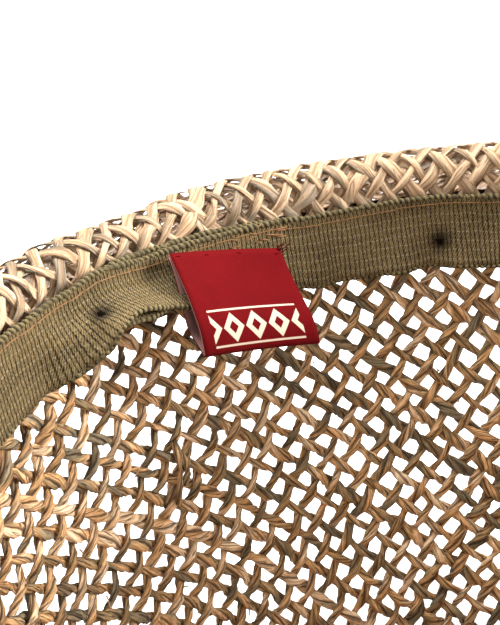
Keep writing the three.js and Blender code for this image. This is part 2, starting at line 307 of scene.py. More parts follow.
def plait(faces):
    """Strands of the plait over a polygon mesh: one crossing on each edge, over and under by turns.

    Returns the edges as pairs of vertices, each strand as the edges that it crosses, and for each corner of
    each face the two edges that a strand joins there.
    """
    edges, ids, corners, sides = [], {}, {}, {}
    for f, face in enumerate(faces):
        here = []
        for a, b in zip(face, face[1:] + face[:1]):
            key = (min(a, b), max(a, b))
            if key not in ids:
                ids[key] = len(edges)
                edges.append(key)
            here.append(ids[key])
            sides.setdefault(ids[key], []).append((f, a, b))
        for i, a in enumerate(face):
            # The corner at a joins the edge before it, where it goes under, to the edge after it.
            corners[f, a] = (here[i - 1], here[i])
    straight = {}
    for edge, around in sides.items():
        if len(around) == 2:
            (f, a, b), (g, c, d) = around
            # a is d and b is c. Over: (f, a) with (g, c). Under: (f, b) with (g, d).
            for one, other in (((f, a), (g, c)), ((f, b), (g, d))):
                straight[edge, one], straight[edge, other] = other, one
    strands, used = [], set()

    def follow(corner, entry):
        """Crossings from a corner on, leaving it through the edge that isn't entry."""
        path = [entry]
        while corner is not None and corner not in used:
            used.add(corner)
            before, after = corners[corner]
            leave = after if path[-1] == before else before
            path.append(leave)
            corner = straight.get((leave, corner))
        return path

    borders = [(around[0], edge) for edge, around in sides.items() if len(around) == 1]
    starts = [((f, corner), edge) for (f, *ends), edge in borders for corner in ends]
    starts += [(corner, before) for corner, (before, _) in corners.items()]
    for corner, edge in starts:
        if corner not in used:
            strands.append(follow(corner, edge))
    return edges, strands, corners


def strand_signs(strands, corners):
    """+1 for over or -1 for under at every crossing of every strand."""
    lookup = {}
    for before, after in corners.values():
        lookup[before, after] = -1.0
        lookup[after, before] = 1.0
    return [lookup[path[0], path[1]] * (-1.0) ** np.arange(len(path)) for path in strands]


def steps(count, per):
    """Fractional indices of a curve through count points, per to each stretch."""
    per = np.broadcast_to(per, count - 1)
    return np.concatenate([i + np.arange(k) / k for i, k in enumerate(per)] + [[count - 1.0]])


def catmull(points, at):
    """A smooth curve through points, read at fractional indices."""
    p = np.concatenate([2 * points[:1] - points[1:2], points, 2 * points[-1:] - points[-2:-1]])
    i = np.minimum(at.astype(int), len(points) - 2)
    t = (at - i)[:, None]
    p0, p1, p2, p3 = p[i], p[i + 1], p[i + 2], p[i + 3]
    square = 2 * p0 - 5 * p1 + 4 * p2 - p3
    cube = 3 * p1 - p0 - 3 * p2 + p3
    return 0.5 * (2 * p1 + (p2 - p0) * t + square * t**2 + cube * t**3)


def wander(count, scale, step):
    """A smooth random curve with about one bend in every step samples."""
    knots = rng.normal(0, scale, max(4, int(count / step) + 4))
    at = np.linspace(0.5, len(knots) - 1.5, count)
    return np.interp(at, np.arange(len(knots)), knots)


def lay(loft, points, normals, signs, style, per=3, painted_light_shift=0.0, growth=1.0):
    """Adds one strand to a loft, through crossings on a surface, over where the sign is +1.

    Per is the number of rings from one crossing to the next, the shift after it moves the strand's hue and
    lightness as painted light and shade, and growth is its size at each crossing.
    """
    count = len(points)
    f = steps(count, per)
    tangent = unit(np.gradient(points, axis=0))
    lateral = np.cross(normals, tangent)
    shift = rng.normal(0, style["stray"]) + wander(count, style["wander"], 5)
    shift = shift + rng.normal(0, style["jitter"], count)
    points = points + lateral * shift[:, None]
    centre = catmull(points, f)
    normal = unit(catmull(normals, f))
    i = np.minimum(f.astype(int), count - 2)
    ease = (1 - np.cos(np.pi * (f - i))) / 2
    level = signs * style["height"] * (1 + rng.normal(0, 0.15, count))
    height = mix(level[i], level[i + 1], ease)
    centre = centre + normal * height[:, None]
    tangent = unit(np.gradient(centre, axis=0))
    normal = unit(normal - (normal * tangent).sum(-1, keepdims=True) * tangent)
    lateral = np.cross(normal, tangent)
    total = len(centre)
    distance = travelled(centre)
    growth = np.broadcast_to(growth, count)
    size = rng.normal(1, style["spread"]) * (1 + wander(total, style["uneven"], 7))
    size = size * mix(growth[i], growth[i + 1], ease)
    leaf = 1 + style["leaf"] * np.cos(2 * np.pi * f)
    squash = 1 - style["pinch"] * np.abs(height) / style["height"]
    hand = 1 if rng.random() < 0.9 else -1
    twist = hand * 2 * np.pi * distance / (style["lay"] * rng.uniform(0.75, 1.4))
    twist = rng.uniform(0, 2 * np.pi) + twist + wander(total, 0.5, 8)
    phi = loft.phi
    groove = np.asarray(style["groove"])
    ply = np.where(np.cumsum(groove) % 2 == 1, 1.0, 0.0)
    radius = 1 - style["crease"] * groove - ply * rng.uniform(0, 0.22)
    angle = phi + twist[:, None]
    wide = (size * leaf * style["wide"])[:, None] * radius * np.cos(angle)
    thick = (size * squash * style["thick"])[:, None] * radius * np.sin(angle)
    rings = rings_on(centre, lateral, wide, normal, thick)
    offset = rng.uniform(0, 900)
    fibre = stack(distance[:, None] + offset, np.cos(phi), np.sin(phi))
    hue = rng.uniform(0.1, 0.9) + painted_light_shift
    other = np.clip(hue + rng.normal(0, 0.3), 0, 1)
    hues = np.where(groove > 0, (hue + other) / 2, mix(hue, other, ply))
    tone = stack(hues, rng.normal(0, 1), np.ones((total, 1)) * groove)
    loft.add(rings, fibre=fibre, tone=tone)


# How much the net's rings climb round the hat, in millimetres, how far its columns lean by the shoulder, in
# degrees of turn, which ring point is a corner of the grid over the crown's top, and how far under the opening
# plane the strands end.
TILT, LEAN, CORNER, CUT = 16.0, 13.0, 8, 1.5

# Strands: half sizes, how much a crossing pinches them, their height over or under the middle, the spread of
# their size, their strays to the side, the length of one twist, the depth of the creases between their plies,
# how much they swell between crossings, and which corners of the section are creases.
CROWN_STRAND = dict(
    wide=1.12, thick=0.8, pinch=0.27, height=0.64, spread=0.11, uneven=0.12,
    stray=0.14, wander=0.16, jitter=0.16, lay=12.0, crease=0.42, leaf=0.12, groove=[0, 0, 1, 0, 0, 0, 1, 0],
)
BRIM_STRAND = dict(
    wide=1.08, thick=0.27, pinch=0.05, height=0.25, spread=0.2, uneven=0.12,
    stray=0.2, wander=0.25, jitter=0.25, lay=34.0, crease=0.25, leaf=0.1, groove=[0, 1, 0, 0, 1, 0],
)
TAIL = {**CROWN_STRAND, "wide": 0.75, "thick": 0.5}


def crown_tree():
    """The crown's middle surface, for the nearest point on it."""
    turns = np.arange(360.0)[:, None]
    walls = np.concatenate([np.linspace(-0.46, 1, 60), np.linspace(1, 2, 13)[1:]])
    stages = np.concatenate([walls, [2.5, 3], np.linspace(3, 4, 25)[1:]])
    fine = crown(turns, stages[None, :])
    a = np.arange(360)[:, None] * len(stages) + np.arange(len(stages) - 1)
    b = np.roll(a, -1, axis=0)
    quads = stack(a, b, b + 1, a + 1).reshape(-1, 4)
    return BVHTree.FromPolygons(fine.reshape(-1, 3).tolist(), quads.tolist())


def net_start(tree, columns=96, rows=21, wide=21, long=27):
    """Points and cells of the crown's net before it is relaxed.

    The net starts above the crown's rim. Its rings rise and its columns lean round the hat, and a grid of wide
    by long cells closes it over the crown's top. Its first ring is of as many points as it has columns.
    """
    first, last, wall_run, even_rounds = -0.2, 1.6, 92, 300
    half_wide, half_long = 74, 92
    profile = crown(np.array(90.0), np.linspace(first, last, 200))
    length = travelled(profile)
    share = np.linspace(1, 0, rows + 1)[:, None]
    turn = np.radians(360 / columns * (np.arange(columns) + 0.5))[None, :]
    climb = TILT * (np.sin(turn) - np.sin(3 * turn) / 9) * share
    below = length[-1] * (1 - share) - climb
    ring_stage = np.interp(below, length, np.linspace(first, last, 200))
    ring_stage = np.where(below < 0, first + below / wall_run, ring_stage)
    lean = LEAN * np.cos(turn) * (1 - share)
    ring = crown(np.degrees(turn) + lean, ring_stage)
    points = list(ring.reshape(-1, 3))
    top = -np.ones((wide + 1, long + 1), int)
    around = [(wide, iy) for iy in range(long, 0, -1)] + [(ix, 0) for ix in range(wide, 0, -1)]
    around += [(0, iy) for iy in range(long)] + [(ix, long) for ix in range(wide)]
    for step, (ix, iy) in enumerate(around):
        top[ix, iy] = rows * columns + (CORNER + step) % columns
    # The grid's rim is the last ring. Its inner points start on an ellipse and are evened out in plan.
    plan = np.zeros((wide + 1, long + 1, 2))
    s, t = np.meshgrid(np.linspace(-1, 1, wide + 1), np.linspace(-1, 1, long + 1), indexing="ij")
    plan[..., 0] = s * np.sqrt(1 - t * t / 2) * half_wide
    plan[..., 1] = t * np.sqrt(1 - s * s / 2) * half_long
    rim = top >= 0
    plan[rim] = np.array(points)[top[rim]][:, :2]
    for _ in range(even_rounds):
        plan[1:-1, 1:-1] = (plan[2:, 1:-1] + plan[:-2, 1:-1] + plan[1:-1, 2:] + plan[1:-1, :-2]) / 4
    for ix, iy in np.argwhere(top < 0):
        x, y = plan[ix, iy]
        hit = tree.ray_cast(Vector((x, y, -20)), Vector((0, 0, 1)))[0]
        top[ix, iy] = len(points)
        points.append(np.array(hit if hit else (x, y, RIDGE)))
    a = np.arange(rows)[:, None] * columns + np.arange(columns)
    b = np.roll(a, -1, axis=1)
    quads = stack(a, b, b + columns, a + columns).reshape(-1, 4)
    closing = stack(top[:-1, :-1], top[:-1, 1:], top[1:, 1:], top[1:, :-1]).reshape(-1, 4)
    return np.array(points), np.concatenate([quads, closing]), columns


def relaxed(tree, points, quads, held, diagonal=8.4, side=5.94, rounds=130):
    """The net's points once both diagonals of every cell, the strands' own directions, tend to one length."""
    pairs = np.concatenate([quads[:, [0, 2]], quads[:, [1, 3]]])
    sides = np.concatenate([quads[:, [0, 1]], quads[:, [1, 2]]])
    for _ in range(rounds):
        for links, rest, stiff in ((pairs, diagonal, 0.5), (sides, side, 0.12)):
            a, b = points[links[:, 0]], points[links[:, 1]]
            gap = b - a
            size = np.linalg.norm(gap, axis=1, keepdims=True)
            move = gap * (1 - rest / size) * 0.5 * stiff
            total = np.zeros_like(points)
            np.add.at(total, links[:, 0], move)
            np.add.at(total, links[:, 1], -move)
            weight = np.bincount(links.ravel(), minlength=len(points))[:, None]
            total = total / np.maximum(weight / 2, 1)
            total[:held] = 0
            points = points + total
        for i in range(held, len(points)):
            points[i] = tree.find_nearest(Vector(points[i]))[0]
    return points


def crown_net():
    """Crossings, normals and strands of the crown's plait, cut along the crown's rim."""
    tree = crown_tree()
    points, quads, held = net_start(tree)
    points = relaxed(tree, points, quads, held)
    edges, strands, corners = plait(quads.tolist())
    signs = strand_signs(strands, corners)
    middle = points[np.array(edges)].mean(1)
    normals = np.zeros_like(middle)
    for i, point in enumerate(middle):
        middle[i], normals[i] = tree.find_nearest(Vector(point))[:2]
    turn = np.degrees(np.arctan2(middle[:, 0] / HALF_WIDTH, middle[:, 1] / HALF_LENGTH))
    kept = middle[:, 2] < HEIGHT - CUT + meeting(turn)
    smoother = normals.copy()
    for path in strands:
        for a, b in zip(path[:-1], path[1:]):
            smoother[a] += 0.5 * normals[b]
            smoother[b] += 0.5 * normals[a]
    runs = []
    for path, sign in zip(strands, signs):
        for run in np.split(np.arange(len(path)), np.nonzero(np.diff(kept[path]))[0] + 1):
            if len(run) > 2 and kept[path[run[0]]]:
                runs.append((np.array(path)[run], sign[run]))
    return middle, unit(smoother), runs


def frays(loft):
    """Broken leaf ends that stand off the crown's strands inside, and one tail of two leaves."""
    for path in (
        [(-12.4, 0.38), (-12.7, 0.42), (-13.4, 0.46), (-13.9, 0.5)],
        [(-12.4, 0.38), (-11.7, 0.42), (-11.8, 0.45), (-12.5, 0.47)],
    ):
        places = np.array(path)
        middle, _, _, normal = surface_frame(crown, places[:, 0], places[:, 1], 0.5)
        inside = -unit(normal)
        lay(loft, middle + inside * np.array([0.8, 1.9, 1.9, 1.5])[:, None], inside, np.zeros(4), TAIL)
    spots = [(25, 0.39), (25.4, 0.4), (27, 0.45), (31.8, 0.5)]
    spots += [(rng.uniform(0, 360), rng.uniform(0.2, 1.2)) for _ in range(90)]
    for spot in spots:
        turn, stage = np.array(spot)[:, None]
        middle, right, down, normal = (v[0] for v in surface_frame(crown, turn, stage, 0.5))
        way = unit(right * rng.normal(0, 1) + down * rng.normal(0, 1))
        reach = rng.uniform(1.0, 3.2)
        half, tip = way * 0.4 * reach - normal * 0.7, way * reach - normal * rng.uniform(0.8, 1.8)
        line = catmull(np.array([middle, middle + half, middle + tip]), steps(3, 3))
        tangent = unit(np.gradient(line, axis=0))
        side = unit(np.cross(tangent, normal))
        phi = loft.phi
        size = 0.3 * (1.05 - np.linspace(0, 1, len(line)))[:, None]
        rings = rings_on(line, side, size * np.cos(phi), normal[None], 0.5 * size * np.sin(phi))
        distance = rng.uniform(0, 900) + np.arange(len(line)) * 0.5
        fibre = stack(distance[:, None], np.cos(phi), np.sin(phi))
        loft.add(rings, fibre=fibre, tone=np.array([rng.uniform(0.3, 1), rng.normal(0, 1), 0.0]))


def build_crown(material):
    """The crown's strands, in three pieces of about one size."""
    middle, normals, runs = crown_net()
    total = sum(len(path) - 1 for path, _ in runs)
    lofts = [Loft(8) for _ in range(3)]
    laid = 0
    for path, sign in runs:
        loft = lofts[min(2, laid * 3 // total)]
        lay(loft, middle[path], normals[path], sign, CROWN_STRAND)
        laid += len(path) - 1
    frays(lofts[2])
    for i, loft in enumerate(lofts):
        loft.build(f"crown_plait_{i + 1}", material, 4.0, "crown_straw", "crown")


def build_brim(material):
    """The brim's strands, in three pieces: each runs out on the upper skin and back on the lower one."""
    columns, rows = 120, 19
    # There are more rings between the crossings near the wall. The leaves are painted lighter and warmer round
    # one turn and darker opposite it, as painted light and shade, and widen outwards from the bend's end.
    near, painted_light_turn, bend_end = 8, 75, 6
    lofts = [Loft(6) for _ in range(3)]
    b = np.arange(2 * rows + 1)
    per = np.where(b[:-1] < near, 4, 3)
    for way in (1, -1):
        for c in range(columns):
            a = 2 * c + 1 + way * b
            points, normals = brim_skins(a * 180 / columns, b / rows)
            sign = way * np.where(b % 2 == 0, 1.0, -1.0)
            # Painted light and shade: the leaves' colour is shifted lighter round that turn and darker on the
            # far side of the hat.
            painted_light_shift = 0.35 * math.cos(math.radians(a[0] * 180 / columns - painted_light_turn)) - 0.12
            reach = np.hypot(points[:, 0], points[:, 1])
            growth = mix(1, reach / reach[bend_end], 0.75)
            lay(lofts[3 * c // columns], points, normals, sign, BRIM_STRAND, per, painted_light_shift, growth)
    for i, loft in enumerate(lofts):
        loft.build(f"brim_plait_{i + 1}", material, 3.4, "brim_straw", "brim")


# -------- ribbons and label

# Rows of (turn, value): the sewn edge's rise over the opening plane, the free edge's lean inwards in degrees,
# and how much its curl takes from the width. The sweatband's ends lap between the turns -20 and 6.5.
SEWN_EDGE = [
    (-20, 0.6), (-14, 1.1), (-3, 0.8), (3, 0.2), (11, -0.8), (25, -0.4), (34, -1.2), (90, -0.8), (180, -1.2),
    (270, -0.8), (311, -2.3), (322, -2.3), (329, -1.1), (335, 0.2), (341, 1.3), (348, 0.5), (366.5, 0.1),
]
FREE_EDGE = [
    (-20, 73), (-13, 66), (-10, 55), (-5.5, 6), (4, 6), (12, 2), (21, 14), (25.5, 2), (29, 15), (70, 8),
    (105, 3), (150, 14), (190, 4), (235, 12), (280, 3), (330, 2), (333.5, 28), (336, 55), (338, 77),
    (342.5, 79), (347, 71), (350, 62), (354.5, 8), (366.5, 4),
]
EDGE_CURL = [(322, 0), (333, 0.8), (338, 0.5), (345, 1), (351, 0)]
BAND_WIDTH, BAND_THICK = 12.6, 0.8
BAND_ENDS, LAP, BEND_STEPS = (-20, 366.5), 1.4, 24


def sweatband(turn, across):
    """Middle of the sweatband, from its sewn edge (0) to its free edge (1)."""
    turn, across = pair(turn, across)
    lap = LAP * smooth(turn, 326, 339)
    lean = np.radians(along(FREE_EDGE, turn))
    inward, down = np.zeros_like(turn), np.zeros_like(turn)
    ripple = 0.16 * np.sin(np.radians(turn) * 41) + 0.12 * np.sin(np.radians(turn) * 67 + 2)
    width = BAND_WIDTH - along(EDGE_CURL, turn) + ripple * smooth(across, 0.5, 1)
    for i in range(BEND_STEPS):
        angle = lean * smooth((i + 0.5) / BEND_STEPS * across, 0.12, 0.5)
        inward = inward + width * across * np.sin(angle) / BEND_STEPS
        down = down + width * across * np.cos(angle) / BEND_STEPS
    depth = down - along(SEWN_EDGE, turn)
    return oval(turn, 2.0 + lap + inward + depth * TAPER, HEIGHT - depth)


HATBAND_WIDTH, HATBAND_DROP, HATBAND_ENDS = 11.5, 11.4, (262, 638)


def hatband(turn, across):
    """Middle of the hatband, outside the crown."""
    turn, across = pair(turn, across)
    lap = LAP * smooth(turn, 606, 620)
    depth = HATBAND_DROP * across + 1 - 0.6 * meeting(turn)
    return oval(turn, wall_inset(turn, depth) - 2.0 - lap, HEIGHT - depth)


# Rows of (way down, lean of the left side, lean of the right side), then the length of a ply, the gap between
# the two, the upper corners as (across, rise over the opening plane), and how far in from the oval they are.
LABEL_LEAN = np.array([(0, 49, 39), (0.35, 48, 47), (0.7, 34, 53), (0.9, 14, 26), (1, 9, 14)])
LABEL_LENGTH, LABEL_GAP = 18.3, 1.0
LABEL_LEFT, LABEL_RIGHT, LABEL_IN = (-13.8, 0.5), (7.1, -4.1), 6.2


def label(side, path):
    """Middle of the label's cloth: 0 to 1 the back ply, to 2 the fold, to 3 the front ply."""
    side, path = pair(side, path)
    down = np.where(path < 1, path, np.minimum(1, 3 - path))

    def lean(at):
        left, right = (np.interp(at, LABEL_LEAN[:, 0], LABEL_LEAN[:, k]) for k in (1, 2))
        return np.radians(mix(left, right, side))

    across, rise = (mix(left, right, side) for left, right in zip(LABEL_LEFT, LABEL_RIGHT))
    back = (HALF_LENGTH - LABEL_IN) * np.sqrt(1 - (across / (HALF_WIDTH - LABEL_IN)) ** 2)
    point = stack(across, back, HEIGHT + rise)
    for i in range(BEND_STEPS):
        angle = lean((i + 0.5) / BEND_STEPS * down)
        step = LABEL_LENGTH * down / BEND_STEPS
        point = point - stack(0.0, step * np.sin(angle), step * np.cos(angle))
    point[..., 0] -= 0.04 * LABEL_LENGTH * down
    angle = lean(down)
    swell = np.sin(np.pi * np.maximum(0, down) ** 1.7)
    turned = np.where(path < 1, 0, np.pi * (np.clip(path, 1, 2) - 1))
    behind = np.where(path < 1, mix(4.0, 1.4, side) * swell, 0) + LABEL_GAP / 2 * (1 + np.cos(turned))
    below = LABEL_GAP / 2 * np.sin(turned)
    point[..., 1] += behind * np.cos(angle) - below * np.sin(angle)
    point[..., 2] -= behind * np.sin(angle) + below * np.cos(angle)
    return point


def ribbon(surface, us, vs, thickness, du, width, marks=()):
    """A strip of even thickness as a loft that carries its own flat coordinates, and its length.

    Marks are places (u, millimetres down) where a knot draws the cloth in and darkens it.
    """
    middle, _, _, normal = surface_frame(surface, us[:, None], vs[None, :], du)
    # The cloth is made darker round each knot, fading with the distance from it.
    stain = np.zeros(middle.shape[:2])
    for u, down in marks:
        away = np.linalg.norm(middle - surface(np.array(u), np.array(down / width)), axis=-1)
        middle = middle + normal * (0.6 * np.exp(-((away / 1.7) ** 2)))[..., None]
        stain = np.maximum(stain, np.exp(-((away / 1.9) ** 3)))
    stain = np.concatenate([stain, stain[:, ::-1]], 1)[..., None]
    rings = np.concatenate([middle + normal * thickness / 2, (middle - normal * thickness / 2)[:, ::-1]], 1)
    run = travelled(middle[:, 0])
    down = np.concatenate([vs, vs[::-1]]) * width
    side = np.repeat([1.0, 0.0], len(vs))
    loft = Loft(2 * len(vs))
    loft.add(rings, cloth=stack(run[:, None], down, side), stain=stain)
    return loft, run[-1]


def edge_cord(surface, us, v, du, radius, pitch, depth, slant, inner=0.0):
    """The bumpy cord that a ribbon's threads make along one edge. Its pitch slips a little along it."""
    slip_step, slip_knots = 2.5, 280
    middle, _, _, normal = surface_frame(surface, us, v, du)
    run = travelled(middle)
    middle = middle - normal * inner
    tangent = unit(np.gradient(middle, axis=0))
    other = np.cross(normal, tangent)
    loft = Loft(6)
    phi = loft.phi
    slip = np.interp(run, np.arange(slip_knots) * slip_step, rng.normal(0, 0.8, slip_knots))
    phase = (2 * np.pi * run / pitch + slip)[:, None] + slant * phi
    bumps = (1 - 2 * np.abs(np.sin(phase / 2)) ** 3) * (1 + 0.3 * wander(len(us), 1, 12)[:, None])
    size = radius * (1 + depth * bumps + wander(len(us), 0.14, 10)[:, None])
    rings = rings_on(middle, normal, size * np.cos(phi), other, size * np.sin(phi))
    loft.add(rings, cloth=stack(run[:, None], v, bumps))
    return loft


def thread(loft, points, radius):
    """A short length of sewing thread through points."""
    line = catmull(np.asarray(points, float), steps(len(points), 3))
    tangent = unit(np.gradient(line, axis=0))
    side = unit(np.cross(tangent, [0.13, 0.31, 0.94]))
    other = np.cross(tangent, side)
    at = np.linspace(-1, 1, len(line))
    size = radius * (1 - 0.55 * np.abs(at) ** 6)[:, None]
    loft.add(rings_on(line, side, size * np.cos(loft.phi), other, size * np.sin(loft.phi)))


def on_band(turn, down, off=0.0):
    """A point on the sweatband's inner face, down from its sewn edge, standing off it."""
    middle, _, _, normal = surface_frame(sweatband, turn, down / BAND_WIDTH, 0.3)
    return middle - normal * (BAND_THICK / 2 + off)


def stitch(loft, turns, downs, offs, radius):
    """A stitch through places on the sweatband's inner face, standing off it by offs."""
    points = on_band(turns, downs)
    normal = unit(on_band(turns, downs, 1.0) - points)
    thread(loft, points + normal * np.asarray(offs)[:, None], radius)


def seam(loft):
    """The machine stitching along the sweatband's sewn edge, and the hand stitches over its lap."""
    turn = BAND_ENDS[0] + 0.4
    while turn < 366:
        length = rng.uniform(2.1, 2.5)
        down = 1.5 + 0.2 * math.sin(turn * 0.17) + rng.normal(0, 0.05)
        turns = turn + length * np.array([0, 0.05, 0.5, 0.95, 1.0])
        downs = down + np.linspace(0, rng.normal(0, 0.08), 5)
        stitch(loft, turns, downs, (-0.25, 0.07, 0.12, 0.07, -0.25), 0.095)
        turn += length + 0.12
    for _ in range(16):
        start = np.array([min(rng.uniform(358.5, 368), 365.6), rng.uniform(0.6, 3.0)])
        step = np.array([rng.uniform(0.7, 1.3), rng.uniform(-0.7, 0.5)])
        turns, downs = start[:, None] + np.array([0, 0.1, 0.5, 0.9, 1.0]) * step[:, None]
        stitch(loft, turns, downs, (-0.25, 0.08, 0.16, 0.08, -0.25), 0.12)


# Places (turn, millimetres down from the sewn edge) of the dark knots that hold the sweatband to the crown.
TACKS = [(338.5, 7.05), (26.1, 8.2), (118, 6.5), (209, 7), (292, 6.2)]


def tacks(loft):
    """The knots of the sweatband's tacks: each a few threads across one place, drawn into the cloth."""
    for turn, down in TACKS:
        for _ in range(11):
            way = rng.uniform(0, np.pi)
            reach = rng.uniform(0.35, 0.9)
            span = np.array([-1, -0.6, 0, 0.6, 1.0])
            turns = turn + rng.normal(0, 0.12) + span * reach * math.cos(way) / 1.5
            downs = down + rng.normal(0, 0.15) + span * reach * math.sin(way) * 0.8
            stitch(loft, turns, downs, (-0.68, -0.46, -0.36, -0.46, -0.68), 0.12)


def label_stitches(loft):
    """The short stitches along the label's upper edge, and the loose ends of their thread."""
    for side in (0.06, 0.32, 0.62, 0.95):
        sides = side + np.array([-0.03, -0.018, 0, 0.018, 0.03])
        middle, _, _, normal = surface_frame(label, sides, 3 - 0.035 + rng.normal(0, 0.01), 1e-3)
        thread(loft, middle + normal * np.array([0.05, 0.2, 0.25, 0.2, 0.05])[:, None], 0.1)
    root = label(np.array(0.97), np.array(2.97))
    for _ in range(7):
        way = np.array([rng.uniform(0.2, 1.2), rng.uniform(-0.3, 0.3), rng.uniform(-0.3, 0.6)])
        bow = rng.normal(0, 0.25, 3)
        thread(loft, [root, root + way * 0.7 + bow, root + way * 1.5 + bow, root + way * 2.2], 0.1)


# -------- materials


class Shader:
    """Short calls for the nodes of one material."""

    def __init__(self, name):
        self.material = bpy.data.materials.new(name)
        self.material.use_nodes = True
        self.tree = self.material.node_tree
        self.tree.nodes.clear()
        self.output = self.tree.nodes.new("ShaderNodeOutputMaterial")

    def node(self, kind, *inputs, out=0, **settings):
        """Adds a node. Settings are its own properties, or else inputs by name."""
        node = self.tree.nodes.new("ShaderNode" + kind)
        for key, value in settings.items():
            if hasattr(node, key):
                setattr(node, key, value)
            else:
                self.put(node.inputs[key.replace("_", " ")], value)
        for index, value in enumerate(inputs):
            self.put(node.inputs[index], value)
        return node.outputs[out]

    def put(self, socket, value):
        if isinstance(value, bpy.types.NodeSocket):
            self.tree.links.new(value, socket)
        elif hasattr(value, "__len__") and len(value) == 3 and len(getattr(socket, "default_value", (1,))) == 4:
            socket.default_value = (*value, 1)
        else:
            socket.default_value = value

    def math(self, operation, *values, clamp=False):
        return self.node("Math", *values, operation=operation, use_clamp=clamp)

    def times(self, a, b, clamp=False):
        return self.math("MULTIPLY", a, b, clamp=clamp)

    def minus(self, a, b, clamp=False):
        return self.math("SUBTRACT", a, b, clamp=clamp)

    def line(self, value, factor, start):
        """Value times factor, plus start."""
        return self.math("MULTIPLY_ADD", value, factor, start)

    def saw(self, value):
        """How far the fraction of a value is from a half."""
        return self.math("ABSOLUTE", self.minus(self.math("FRACT", value), 0.5))

    def attribute(self, name):
        return self.node("Attribute", out="Vector", attribute_name=name)

    def split(self, vector):
        node = self.tree.nodes.new("ShaderNodeSeparateXYZ")
        self.tree.links.new(vector, node.inputs[0])
        return list(node.outputs)

    def stretch(self, vector, scale):
        return self.node("VectorMath", vector, scale, operation="MULTIPLY")

    def noise(self, vector, detail=2.0, roughness=0.5):
        return self.node("TexNoise", Vector=vector, Scale=1.0, Detail=detail, Roughness=roughness)

    def ramp(self, value, stops):
        node = self.tree.nodes.new("ShaderNodeValToRGB")
        self.tree.links.new(value, node.inputs[0])
        ramp = node.color_ramp
        while len(ramp.elements) < len(stops):
            ramp.elements.new(0.5)
        for element, (position, colour) in zip(ramp.elements, stops):
            element.position = position
            element.color = (*colour, 1)
        return node.outputs[0]

    def blend(self, factor, a, b, kind="MIX"):
        node = self.tree.nodes.new("ShaderNodeMix")
        node.data_type = "RGBA"
        node.blend_type = kind
        self.put(node.inputs[0], factor)
        self.put(node.inputs[6], a)
        self.put(node.inputs[7], b)
        return node.outputs[2]

    def surface(self, colour, height=None, distance=0.0, strength=1.0, **settings):
        """The material, with height as bump of so many metres where it is given."""
        if height is not None:
            settings["Normal"] = self.node("Bump", Strength=strength, Distance=distance, Height=height)
        shader = self.node("BsdfPrincipled", Base_Color=colour, **settings)
        self.tree.links.new(shader, self.output.inputs[0])
        return self.material


def straw(name, stops, dark, contrast, relief):
    """Dried seagrass: colour that drifts along each strand, fine fibres, and painted shade in the creases
    between its leaves.

    Fibre is the place along and round a strand. Tone is its hue, its lightness, and 1 in a crease of its plies.
    """
    s = Shader(name)
    fibre, tone = s.attribute("fibre"), s.split(s.attribute("tone"))
    drift = s.noise(s.stretch(fibre, (0.12, 0.4, 0.4)), 3.0)
    leaf = s.noise(s.stretch(fibre, (0.1, 1.2, 1.2)), 1.0)
    streak = s.noise(s.stretch(fibre, (0.3, 3.0, 3.0)), 5.0, 0.75)
    speck = s.noise(s.stretch(fibre, (1.3, 5.0, 5.0)), 3.0)
    # Ply is the crease between two plies, and ridge is a thin wandering one along a leaf. Both are painted
    # shade: the colour darkens in them.
    ply = s.node("MapRange", tone[2], 0.5, 1.0, 0.0, 1.0)
    ridge = s.math("ABSOLUTE", s.minus(leaf, 0.5))
    ridge = s.node("MapRange", ridge, 0.0, 0.035, 1.0, 0.0)
    place = s.minus(s.line(drift, 2.8, s.times(tone[0], 0.9)), 1.35, clamp=True)
    colour = s.ramp(place, stops)
    light = s.line(tone[1], 0.08, s.line(s.minus(streak, 0.5), contrast, 1.05))
    light = s.math("MAXIMUM", s.times(light, s.line(speck, 0.5, 0.75)), 0.05)
    tint = s.node("CombineXYZ", light, s.math("POWER", light, 1.12), s.math("POWER", light, 1.3))
    colour = s.blend(1.0, colour, tint, "MULTIPLY")
    # Painted shade: the colour is darkened in the creases between plies and along the leaves.
    crease = s.math("MAXIMUM", s.times(ply, 0.95), s.times(ridge, 0.8))
    colour = s.blend(crease, colour, dark)
    height = s.minus(s.line(speck, 0.2, streak), s.times(crease, 1.1))
    rough = s.line(streak, 0.3, 0.4)
    return s.surface(colour, height, relief, 1.0, Roughness=rough, Specular_IOR_Level=0.25)


